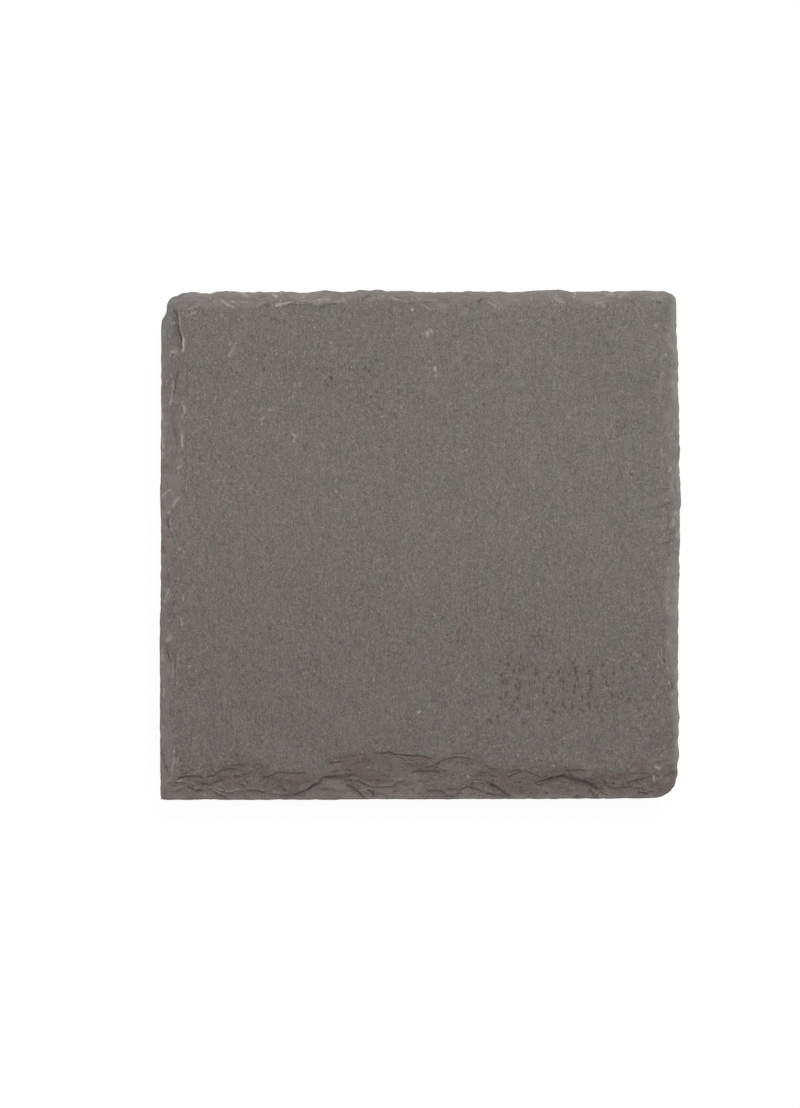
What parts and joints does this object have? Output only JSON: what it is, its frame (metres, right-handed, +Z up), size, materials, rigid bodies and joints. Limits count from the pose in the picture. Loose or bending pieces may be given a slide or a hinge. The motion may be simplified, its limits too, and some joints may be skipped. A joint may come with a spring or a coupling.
{
  "type": "drink coaster",
  "caption": "Square slab of natural riven slate with hand-chipped edges, on stuck-on rubber feet, for resting a cup or glass on a table.",
  "frame": {"origin": "on the table, under the centre of the slab's outline", "axes": "+Z up, +X right, +Y from the front edge, which has the widest chips, to the back edge"},
  "size_m": [0.1, 0.098, 0.0082],
  "materials": {
    "slate": "matte",
    "foot_rubber": "matte",
    "foot_adhesive": "satin"
  },
  "bodies": {
    "root": {"slate_slab": "slate", "foot_front_left": "foot_rubber", "foot_front_right": "foot_rubber", "foot_back_left": "foot_rubber", "foot_back_right": "foot_rubber", "adhesive_front_left": "foot_adhesive", "adhesive_front_right": "foot_adhesive", "adhesive_back_left": "foot_adhesive", "adhesive_back_right": "foot_adhesive"}
  },
  "joints": []
}
